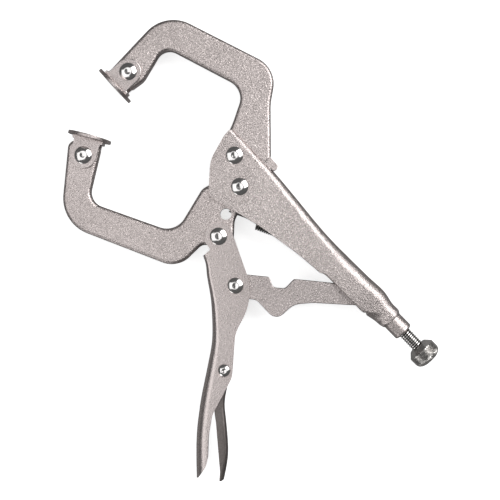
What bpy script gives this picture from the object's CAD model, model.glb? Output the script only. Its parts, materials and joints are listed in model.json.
import bpy
import json
import math
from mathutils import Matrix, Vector

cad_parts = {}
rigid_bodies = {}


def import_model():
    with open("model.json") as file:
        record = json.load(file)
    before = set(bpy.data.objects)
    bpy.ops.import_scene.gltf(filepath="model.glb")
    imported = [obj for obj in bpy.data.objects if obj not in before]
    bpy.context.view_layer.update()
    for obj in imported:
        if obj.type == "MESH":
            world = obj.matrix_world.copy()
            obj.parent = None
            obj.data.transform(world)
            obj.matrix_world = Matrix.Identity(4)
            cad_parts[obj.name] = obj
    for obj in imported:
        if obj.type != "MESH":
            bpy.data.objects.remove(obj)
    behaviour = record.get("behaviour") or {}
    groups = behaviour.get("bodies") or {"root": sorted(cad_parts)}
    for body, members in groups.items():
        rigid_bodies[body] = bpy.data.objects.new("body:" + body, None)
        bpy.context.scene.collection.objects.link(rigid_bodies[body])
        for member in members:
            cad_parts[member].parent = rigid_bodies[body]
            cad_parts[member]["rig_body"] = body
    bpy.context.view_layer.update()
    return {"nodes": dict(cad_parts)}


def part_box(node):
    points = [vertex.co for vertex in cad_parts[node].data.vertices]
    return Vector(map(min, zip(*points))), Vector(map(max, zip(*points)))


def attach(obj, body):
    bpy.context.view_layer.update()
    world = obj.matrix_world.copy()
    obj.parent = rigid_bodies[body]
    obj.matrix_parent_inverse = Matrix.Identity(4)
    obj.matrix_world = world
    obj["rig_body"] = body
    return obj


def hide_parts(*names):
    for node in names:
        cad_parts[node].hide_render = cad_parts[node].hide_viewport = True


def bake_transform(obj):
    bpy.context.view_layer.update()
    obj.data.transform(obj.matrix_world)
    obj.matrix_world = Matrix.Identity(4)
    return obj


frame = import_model()


# Fixed handle: one piece of 2 mm sheet steel, pressed to a channel and curled to a barrel at its
# tail for the screw. It is blasted to a fine grain and plated in satin nickel.
def grain_group():
    """Blasted grain under thin plating: fine pits, a few coarser dents and slow colour drift."""
    group = bpy.data.node_groups.new("blasted_grain", "ShaderNodeTree")
    face = group.interface
    for name in ("Fine Size", "Coarse Size", "Smooth", "Rough"):
        face.new_socket(name, in_out="INPUT", socket_type="NodeSocketFloat")
    for name in ("Light", "Dark"):
        face.new_socket(name, in_out="INPUT", socket_type="NodeSocketColor")
    face.new_socket("Color", in_out="OUTPUT", socket_type="NodeSocketColor")
    for name in ("Roughness", "Height"):
        face.new_socket(name, in_out="OUTPUT", socket_type="NodeSocketFloat")
    nodes, links = group.nodes, group.links
    given = nodes.new("NodeGroupInput")
    out = nodes.new("NodeGroupOutput")
    where = nodes.new("ShaderNodeTexCoord")
    fine = nodes.new("ShaderNodeTexNoise")
    fine.inputs["Detail"].default_value = 3.0
    fine.inputs["Roughness"].default_value = 0.6
    coarse = nodes.new("ShaderNodeTexNoise")
    coarse.inputs["Detail"].default_value = 2.0
    drift = nodes.new("ShaderNodeTexNoise")
    drift.inputs["Scale"].default_value = 35.0
    drift.inputs["Detail"].default_value = 3.0
    for texture in (fine, coarse, drift):
        links.new(where.outputs["Object"], texture.inputs["Vector"])
    links.new(given.outputs["Fine Size"], fine.inputs["Scale"])
    links.new(given.outputs["Coarse Size"], coarse.inputs["Scale"])
    heap = nodes.new("ShaderNodeMath")
    heap.operation = "MULTIPLY_ADD"
    coarse_share = 0.6
    heap.inputs[1].default_value = coarse_share
    links.new(coarse.outputs["Fac"], heap.inputs[0])
    links.new(fine.outputs["Fac"], heap.inputs[2])
    links.new(heap.outputs[0], out.inputs["Height"])
    speck = nodes.new("ShaderNodeMapRange")
    speck.inputs["From Min"].default_value = 0.55
    speck.inputs["From Max"].default_value = 1.05
    links.new(heap.outputs[0], speck.inputs["Value"])
    tint = nodes.new("ShaderNodeMath")
    tint.operation = "MULTIPLY_ADD"
    drift_share = speck_share = 0.5
    tint.inputs[1].default_value = drift_share
    links.new(drift.outputs["Fac"], tint.inputs[0])
    toned = nodes.new("ShaderNodeMath")
    toned.operation = "MULTIPLY"
    toned.inputs[1].default_value = speck_share
    links.new(speck.outputs["Result"], toned.inputs[0])
    links.new(toned.outputs[0], tint.inputs[2])
    shade = nodes.new("ShaderNodeMix")
    shade.data_type = "RGBA"
    links.new(tint.outputs[0], shade.inputs["Factor"])
    links.new(given.outputs["Dark"], shade.inputs["A"])
    links.new(given.outputs["Light"], shade.inputs["B"])
    links.new(shade.outputs["Result"], out.inputs["Color"])
    sheen = nodes.new("ShaderNodeMapRange")
    links.new(speck.outputs["Result"], sheen.inputs["Value"])
    links.new(given.outputs["Rough"], sheen.inputs["To Min"])
    links.new(given.outputs["Smooth"], sheen.inputs["To Max"])
    links.new(sheen.outputs["Result"], out.inputs["Roughness"])
    return group


blasted_grain = grain_group()


def plated(name, light, dark, fine, coarse, smooth, rough, relief):
    """Plated steel with the blasted grain showing through, its relief in metres."""
    made = bpy.data.materials.new(name)
    made.use_nodes = True
    nodes, links = made.node_tree.nodes, made.node_tree.links
    shader = nodes["Principled BSDF"]
    shader.inputs["Metallic"].default_value = 1.0
    grain = nodes.new("ShaderNodeGroup")
    grain.node_tree = blasted_grain
    grain.inputs["Fine Size"].default_value = fine
    grain.inputs["Coarse Size"].default_value = coarse
    grain.inputs["Light"].default_value = (*light, 1)
    grain.inputs["Dark"].default_value = (*dark, 1)
    grain.inputs["Smooth"].default_value = smooth
    grain.inputs["Rough"].default_value = rough
    bump = nodes.new("ShaderNodeBump")
    bump.inputs["Strength"].default_value = 1.0
    bump.inputs["Distance"].default_value = relief
    links.new(grain.outputs["Color"], shader.inputs["Base Color"])
    links.new(grain.outputs["Roughness"], shader.inputs["Roughness"])
    links.new(grain.outputs["Height"], bump.inputs["Height"])
    links.new(bump.outputs["Normal"], shader.inputs["Normal"])
    return made


rubbed_nickel = plated(
    "rubbed_nickel", (0.90, 0.85, 0.83), (0.66, 0.61, 0.60), 1500, 900, 0.14, 0.24, 0.00008
)


weld = 0.000002


def dressed(node, finish, edge=0.0003, rides=True):
    """The part with its sharp edges broken and rubbed bright by tumbling, and its finish on."""
    bpy.ops.object.select_all(action="DESELECT")
    source = frame["nodes"][node]
    source.select_set(True)
    bpy.context.view_layer.objects.active = source
    bpy.ops.object.duplicate()
    piece = bpy.context.object
    piece.name = node + "_finished"
    place = piece.matrix_world.copy()
    piece.parent = None
    piece.matrix_world = place
    bpy.ops.object.mode_set(mode="EDIT")
    bpy.ops.mesh.select_all(action="SELECT")
    bpy.ops.mesh.remove_doubles(threshold=weld)
    bpy.ops.mesh.dissolve_limited(angle_limit=math.radians(0.4))
    bpy.ops.object.mode_set(mode="OBJECT")
    piece.data.materials.clear()
    piece.data.materials.append(finish)
    piece.data.materials.append(rubbed_nickel)
    for face in piece.data.polygons:
        face.material_index = 0
    trim = piece.modifiers.new("broken_edges", "BEVEL")
    trim.material = 1
    trim.width = edge
    trim.segments = 2
    trim.limit_method = "ANGLE"
    trim.angle_limit = math.radians(40)
    bpy.ops.object.modifier_apply(modifier=trim.name)
    bpy.ops.object.shade_smooth_by_angle(angle=math.radians(35))
    flats = piece.modifiers.new("even_flats", "WEIGHTED_NORMAL")
    flats.weight = 100
    flats.keep_sharp = True
    bpy.ops.object.modifier_apply(modifier=flats.name)
    if rides:
        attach(piece, source["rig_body"])
    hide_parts(node)
    return piece


pressed_nickel = plated(
    "pressed_nickel", (0.82, 0.74, 0.72), (0.36, 0.32, 0.31), 1500, 900, 0.20, 0.34, 0.00026
)
dressed("fixed_handle", pressed_nickel)


# Jaws: two C arms forged from 8 mm bar, with well rounded rims. They are blasted like the handle,
# a little coarser, and plated.
forged_nickel = plated(
    "forged_nickel", (0.84, 0.755, 0.735), (0.38, 0.335, 0.325), 1400, 850, 0.20, 0.34, 0.00026
)
dressed("fixed_jaw", forged_nickel)
dressed("moving_jaw", forged_nickel)


# Squeeze handle and release lever: two more channels of pressed sheet, with a finer and more even
# grain than the forgings. The lever sits inside the tail of the handle and is duller.
fine_nickel = plated(
    "fine_nickel", (0.74, 0.665, 0.65), (0.55, 0.49, 0.475), 1700, 900, 0.24, 0.34, 0.00010
)
dressed("moving_handle", fine_nickel)
dull_nickel = plated(
    "dull_nickel", (0.26, 0.235, 0.225), (0.15, 0.13, 0.125), 1700, 900, 0.30, 0.42, 0.00010
)
dressed("release_lever", dull_nickel)


# Toggle link: a flat stamping whose lobe the release lever pushes. Its sheared rim is only
# lightly rounded.
link_nickel = plated(
    "link_nickel", (0.74, 0.665, 0.65), (0.46, 0.41, 0.40), 1500, 900, 0.22, 0.36, 0.0002
)
dressed("toggle_link", link_nickel)


# Rivets: solid steel pins closed cold over the plates. Each has a polished dome at both ends, with
# the small round dimple that the closing punch leaves.
def turned(name, start, steps, sides=64):
    """Solid of revolution about Z, drawn out ring by ring from a disc of a radius at a height."""
    radius, level = start
    bpy.ops.object.select_all(action="DESELECT")
    bpy.ops.mesh.primitive_circle_add(
        vertices=sides, radius=radius, fill_type="NGON", location=(0, 0, 0)
    )
    piece = bpy.context.object
    piece.name = name
    bpy.ops.object.mode_set(mode="EDIT")
    bpy.ops.mesh.select_all(action="SELECT")
    bpy.ops.transform.translate(value=(0, 0, level))
    for wide, high in steps:
        bpy.ops.mesh.extrude_region_move(TRANSFORM_OT_translate={"value": (0, 0, high - level)})
        scale = wide / radius
        bpy.ops.transform.resize(value=(scale, scale, 1), center_override=(0, 0, high))
        radius, level = wide, high
    bpy.ops.mesh.select_all(action="SELECT")
    bpy.ops.mesh.normals_make_consistent(inside=False)
    bpy.ops.object.mode_set(mode="OBJECT")
    bpy.ops.object.shade_smooth_by_angle(angle=math.radians(50))
    return piece


def settled(piece, place, turn=(0, 0, 0)):
    """Moves a finished piece to its place and writes the place into its mesh."""
    bpy.ops.object.select_all(action="DESELECT")
    piece.select_set(True)
    bpy.context.view_layer.objects.active = piece
    piece.location = place
    piece.rotation_euler = turn
    bpy.ops.object.transform_apply(location=True, rotation=True, scale=True)


def dome(radius, height, rings=16):
    """Rings of a domed head from its rim inwards, as (radius, height above its seat)."""
    rim = 0.18 * height
    rise = height - rim
    ball = (radius**2 + rise**2) / (2 * rise)
    dimple = 0.44 * radius
    depth = 0.30 * height
    found = [(radius, 0.0), (radius, 0.6 * rim), (0.985 * radius, rim)]
    for ring in range(1, rings):
        r = radius * (1 - ring / rings) * 0.97
        z = rim + math.sqrt(ball**2 - r**2) - (ball - rise)
        if r < dimple:
            z -= depth * (1 - (r / dimple) ** 2) ** 1.5
        found.append((r, z))
    return found


polished_nickel = plated(
    "polished_nickel", (0.86, 0.84, 0.83), (0.74, 0.72, 0.71), 900, 300, 0.08, 0.20, 0.00002
)
head_height = 0.0019
for node in sorted(frame["nodes"]):
    if not node.endswith("rivet"):
        continue
    low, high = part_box(node)
    radius = (high[0] - low[0]) / 2
    half = (high[2] - low[2]) / 2
    head = dome(radius, head_height)
    seat = half - head_height
    below = [(r, -seat - z) for r, z in reversed(head)]
    above = [(r, seat + z) for r, z in head]
    shank = [(0.57 * radius, -seat), (0.57 * radius, seat)]
    pin = turned(node + "_polished", below[0], below[1:] + shank + above)
    settled(pin, [(a + b) / 2 for a, b in zip(low, high)])
    pin.data.materials.append(polished_nickel)
    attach(pin, frame["nodes"][node]["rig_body"])
    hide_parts(node)


# Swivel pads: a pressed disc staked to a folded saddle, whose two ears hang on the jaw tip.
for side in ("fixed_pad", "moving_pad"):
    dressed(side + "_clevis", link_nickel, 0.0005)
    dressed(side + "_disc", link_nickel, 0.0003)


# Adjusting screw: a cut thread of 18 turns to the inch, zinc plated, with crests rubbed bright and
# dark oil in its roots. It runs in the barrel of the handle.
screw_low, screw_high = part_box("adjusting_screw")
knob_low, knob_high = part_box("adjusting_knob")
screw_axis = (0, (screw_low[1] + screw_high[1]) / 2, (screw_low[2] + screw_high[2]) / 2)
crest = (screw_high[1] - screw_low[1]) / 2
flank = 0.00055
core = crest - flank
pitch = 0.0254 / 18
held_in_knob = 0.004
bpy.ops.object.select_all(action="DESELECT")
bpy.ops.mesh.primitive_plane_add(size=pitch, location=(0, 0, 0))
thread = bpy.context.object
thread.name = "screw_thread"
bpy.ops.object.mode_set(mode="EDIT")
bpy.ops.mesh.select_all(action="SELECT")
bpy.ops.mesh.merge(type="CENTER")
bpy.ops.transform.translate(value=(core, 0, 0))
for rise, along in ((0, 0.15), (flank, 0.20), (0, 0.28), (-flank, 0.20), (0, 0.17)):
    step = {"value": (rise, 0, along * pitch)}
    bpy.ops.mesh.extrude_vertices_move(TRANSFORM_OT_translate=step)
bpy.ops.object.mode_set(mode="OBJECT")
thread_length = knob_low[0] + held_in_knob - screw_low[0]
wind = thread.modifiers.new("wind", "SCREW")
wind.axis = "Z"
wind.screw_offset = pitch
wind.iterations = int(thread_length / pitch)
wind.steps = wind.render_steps = 32
wind.use_merge_vertices = True
wind.merge_threshold = 0.000001
bpy.ops.object.modifier_apply(modifier=wind.name)
bpy.ops.object.mode_set(mode="EDIT")
bpy.ops.mesh.select_all(action="SELECT")
bpy.ops.mesh.remove_doubles(threshold=weld)
bpy.ops.mesh.select_all(action="DESELECT")
bpy.ops.mesh.select_non_manifold()
bpy.ops.mesh.fill_holes(sides=0)
bpy.ops.mesh.select_all(action="SELECT")
bpy.ops.mesh.normals_make_consistent(inside=False)
bpy.ops.object.mode_set(mode="OBJECT")
bpy.ops.object.shade_smooth_by_angle(angle=math.radians(30))
settled(thread, (screw_low[0], screw_axis[1], screw_axis[2]), (0, math.radians(90), 0))
zinc = plated("bright_zinc", (0.84, 0.82, 0.80), (0.50, 0.48, 0.46), 1200, 500, 0.14, 0.32, 0.00003)
oiled = bpy.data.materials.new("oiled_thread")
oiled.use_nodes = True
oiled_nodes, oiled_links = oiled.node_tree.nodes, oiled.node_tree.links
oiled_shader = oiled_nodes["Principled BSDF"]
oiled_shader.inputs["Metallic"].default_value = 1.0
oiled_shader.inputs["Roughness"].default_value = 0.22
where = oiled_nodes.new("ShaderNodeTexCoord")
from_axis = oiled_nodes.new("ShaderNodeVectorMath")
from_axis.operation = "SUBTRACT"
from_axis.inputs[1].default_value = screw_axis
across = oiled_nodes.new("ShaderNodeVectorMath")
across.operation = "MULTIPLY"
across.inputs[1].default_value = (0, 1, 1)
reach = oiled_nodes.new("ShaderNodeVectorMath")
reach.operation = "LENGTH"
depth = oiled_nodes.new("ShaderNodeMapRange")
depth.inputs["From Min"].default_value = core + 0.1 * flank
depth.inputs["From Max"].default_value = crest - 0.3 * flank
grime = oiled_nodes.new("ShaderNodeMix")
grime.data_type = "RGBA"
grime.inputs["A"].default_value = (0.035, 0.03, 0.028, 1)
grime.inputs["B"].default_value = (0.92, 0.90, 0.88, 1)
oiled_links.new(where.outputs["Object"], from_axis.inputs[0])
oiled_links.new(from_axis.outputs["Vector"], across.inputs[0])
oiled_links.new(across.outputs["Vector"], reach.inputs[0])
oiled_links.new(reach.outputs["Value"], depth.inputs["Value"])
oiled_links.new(depth.outputs["Result"], grime.inputs["Factor"])
oiled_links.new(grime.outputs["Result"], oiled_shader.inputs["Base Color"])
thread.data.materials.append(oiled)
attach(thread, "screw")
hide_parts("adjusting_screw")


# Adjusting knob: turned with a smooth cone towards the handle, and diamond knurled over its rim
# and its rounded back, for bare fingers. It is pressed on the end of the screw.
knob_length = knob_high[0] - knob_low[0]
knob_radius = (knob_high[1] - knob_low[1]) / 2 - 0.0002
knurl_columns = 40
knurl_start = 0.0031
knurl_step = 0.00128
knurl_height = 0.00034
back_round = 0.0062
front = [
    (0.0056, 0.0), (0.0062, 0.0002), (knob_radius - 0.0004, 0.0028), (knob_radius, knurl_start)
]
rim = [(knob_radius, knurl_start + knurl_step * k) for k in range(1, 5)]
back = []
back_length = knob_length - rim[-1][1] - 0.0003
for k in range(1, 6):
    lean = math.radians(16 * k)
    back.append((
        knob_radius - back_round * (1 - math.cos(lean)),
        rim[-1][1] + back_length * math.sin(lean) / math.sin(math.radians(80)),
    ))
finish_rings = [(back[-1][0] - 0.0006, back[-1][1] + 0.00015), (0.0012, back[-1][1] - 0.0002)]
knob = turned("knurled_knob", front[0], front[1:] + rim + back + finish_rings, knurl_columns)


def knurl_zone(mesh):
    """Faces of the rim and rounded back, which the knurling wheel runs over."""
    for face in mesh.polygons:
        out = math.hypot(face.center.x, face.center.y)
        last = back[-1][1] - 0.0001
        face.select = knurl_start < face.center.z < last and out > back[-1][0] * 0.97


def unselected(mesh):
    """Nothing of the mesh is selected after this."""
    for part in (mesh.vertices, mesh.edges, mesh.polygons):
        part.foreach_set("select", [False] * len(part))


unselected(knob.data)
knurl_zone(knob.data)
corners = len(knob.data.vertices)
bpy.ops.object.mode_set(mode="EDIT")
bpy.ops.mesh.select_mode(type="FACE")
bpy.ops.mesh.poke()
bpy.ops.object.mode_set(mode="OBJECT")
tips = {}
for face in knob.data.polygons:
    if max(face.vertices) >= corners:
        for pair in face.edge_keys:
            tips[pair] = tips.get(pair, 0) + 1
unselected(knob.data)
for ridge in knob.data.edges:
    ridge.select = max(ridge.vertices) < corners and tips.get(tuple(sorted(ridge.vertices)), 0) == 2
bpy.ops.object.mode_set(mode="EDIT")
bpy.ops.mesh.select_mode(type="EDGE")
bpy.ops.mesh.dissolve_edges(use_verts=False)
bpy.ops.object.mode_set(mode="OBJECT")
for face in knob.data.polygons:
    face.select = max(face.vertices) >= corners and len(face.vertices) == 4
bpy.ops.object.mode_set(mode="EDIT")
bpy.ops.mesh.select_mode(type="FACE")
bpy.ops.mesh.poke(offset=knurl_height)
bpy.ops.mesh.select_all(action="SELECT")
bpy.ops.mesh.normals_make_consistent(inside=False)
bpy.ops.mesh.select_mode(type="VERT")
bpy.ops.object.mode_set(mode="OBJECT")
bpy.ops.object.shade_smooth_by_angle(angle=math.radians(20))
settled(knob, (knob_low[0], screw_axis[1], screw_axis[2]), (0, math.radians(90), 0))
knob.data.materials.append(zinc)
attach(knob, "knob")
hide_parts("adjusting_knob")


# Return spring: dark drawn wire, close wound, hooked in the lower jaw and on a tab inside the
# handle. Its jaw end goes with the jaw and the coils stretch towards the tab.
dark_wire = plated(
    "dark_wire", (0.24, 0.23, 0.22), (0.12, 0.115, 0.11), 1500, 500, 0.3, 0.5, 0.00001
)
spring = dressed("return_spring", dark_wire, 0.00005, rides=False)
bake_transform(spring)


# Floor, light and camera: the tool lies on a plain white table. A large soft box stands behind
# the handle, a weaker one hangs over the jaws, and a small one is low in front. The camera looks
# straight down.
bpy.ops.object.select_all(action="DESELECT")
bpy.ops.mesh.primitive_plane_add(size=6, location=(0, 0, 0))
floor = bpy.context.object
floor.name = "floor"
paper = bpy.data.materials.new("white_paper")
paper.use_nodes = True
paper_nodes, paper_links = paper.node_tree.nodes, paper.node_tree.links
paper_shader = paper_nodes["Principled BSDF"]
paper_shader.inputs["Roughness"].default_value = 0.9
paper_ray = paper_nodes.new("ShaderNodeLightPath")
paper_tone = paper_nodes.new("ShaderNodeMix")
paper_tone.data_type = "RGBA"
paper_tone.inputs["A"].default_value = (0.30, 0.30, 0.30, 1)
paper_tone.inputs["B"].default_value = (0.92, 0.92, 0.92, 1)
paper_links.new(paper_ray.outputs["Is Camera Ray"], paper_tone.inputs["Factor"])
paper_links.new(paper_tone.outputs["Result"], paper_shader.inputs["Base Color"])
paper_shader.inputs["Emission Color"].default_value = (1, 1, 1, 1)
paper_glow = paper_nodes.new("ShaderNodeMath")
paper_glow.operation = "MULTIPLY"
paper_glow.inputs[1].default_value = 0.72
paper_links.new(paper_ray.outputs["Is Camera Ray"], paper_glow.inputs[0])
paper_links.new(paper_glow.outputs[0], paper_shader.inputs["Emission Strength"])
floor.data.materials.append(paper)

world = bpy.data.worlds.new("studio")
bpy.context.scene.world = world
world.use_nodes = True
world.node_tree.nodes["Background"].inputs["Color"].default_value = (1, 1, 1, 1)
world.node_tree.nodes["Background"].inputs["Strength"].default_value = 0.11


def soft_box(name, place, size, power):
    """Square soft box at a place, aimed at the middle of the table."""
    lamp = bpy.data.lights.new(name, "AREA")
    lamp.shape = "SQUARE"
    lamp.size = size
    lamp.energy = power
    holder = bpy.data.objects.new(name, lamp)
    bpy.context.scene.collection.objects.link(holder)
    holder.location = place
    holder.rotation_euler = holder.location.to_track_quat("Z", "Y").to_euler()


soft_box("top_box", (-0.4, -0.48, 1.35), 1.35, 7.0)
soft_box("key_box", (0.40, 1.80, 1.84), 2.0, 48)
soft_box("low_box", (0.3, -1.2, 0.35), 0.5, 1.6)
bpy.context.scene.view_settings.view_transform = "Standard"

tool_turn = math.radians(45.5)
view_middle = (0.0090, 0.0178)
view_height = 0.014
view_distance = 0.75
view_width = 0.318
eye = bpy.data.cameras.new("view")
eye.sensor_width = 36
eye.lens = 36 * view_distance / view_width
stand = bpy.data.objects.new("view", eye)
bpy.context.scene.collection.objects.link(stand)
stand.location = (view_middle[0], view_middle[1], view_height + view_distance)
stand.rotation_euler = (0, 0, tool_turn)
bpy.context.scene.camera = stand
